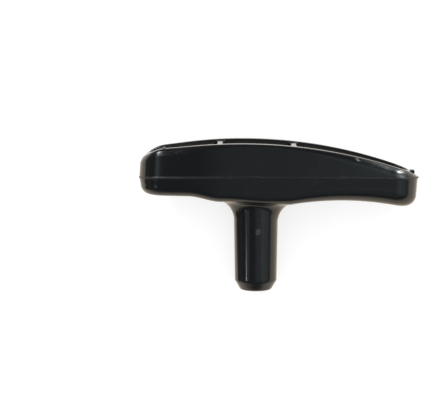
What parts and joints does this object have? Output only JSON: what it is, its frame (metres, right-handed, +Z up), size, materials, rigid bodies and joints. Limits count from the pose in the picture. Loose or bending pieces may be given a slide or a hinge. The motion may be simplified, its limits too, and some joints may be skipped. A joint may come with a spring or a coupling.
{
  "type": "starter handle",
  "caption": "T-shaped pull handle for a recoil starter: a curved hollow-backed grip bar on a flared stem that is bored for the starter cord.",
  "frame": {"origin": "on the floor under the middle of the bounding box of the handle as it lies on its side", "axes": "+X along the grip bar towards its longer, thinner end; +Y away from the stem's end, towards the open hollow back; +Z up from the floor the handle lies on"},
  "size_m": [0.09, 0.0498, 0.0236],
  "materials": {
    "black_plastic": "gloss black moulded plastic, lightly scuffed"
  },
  "bodies": {
    "root": {"handle": "black_plastic"}
  },
  "joints": []
}
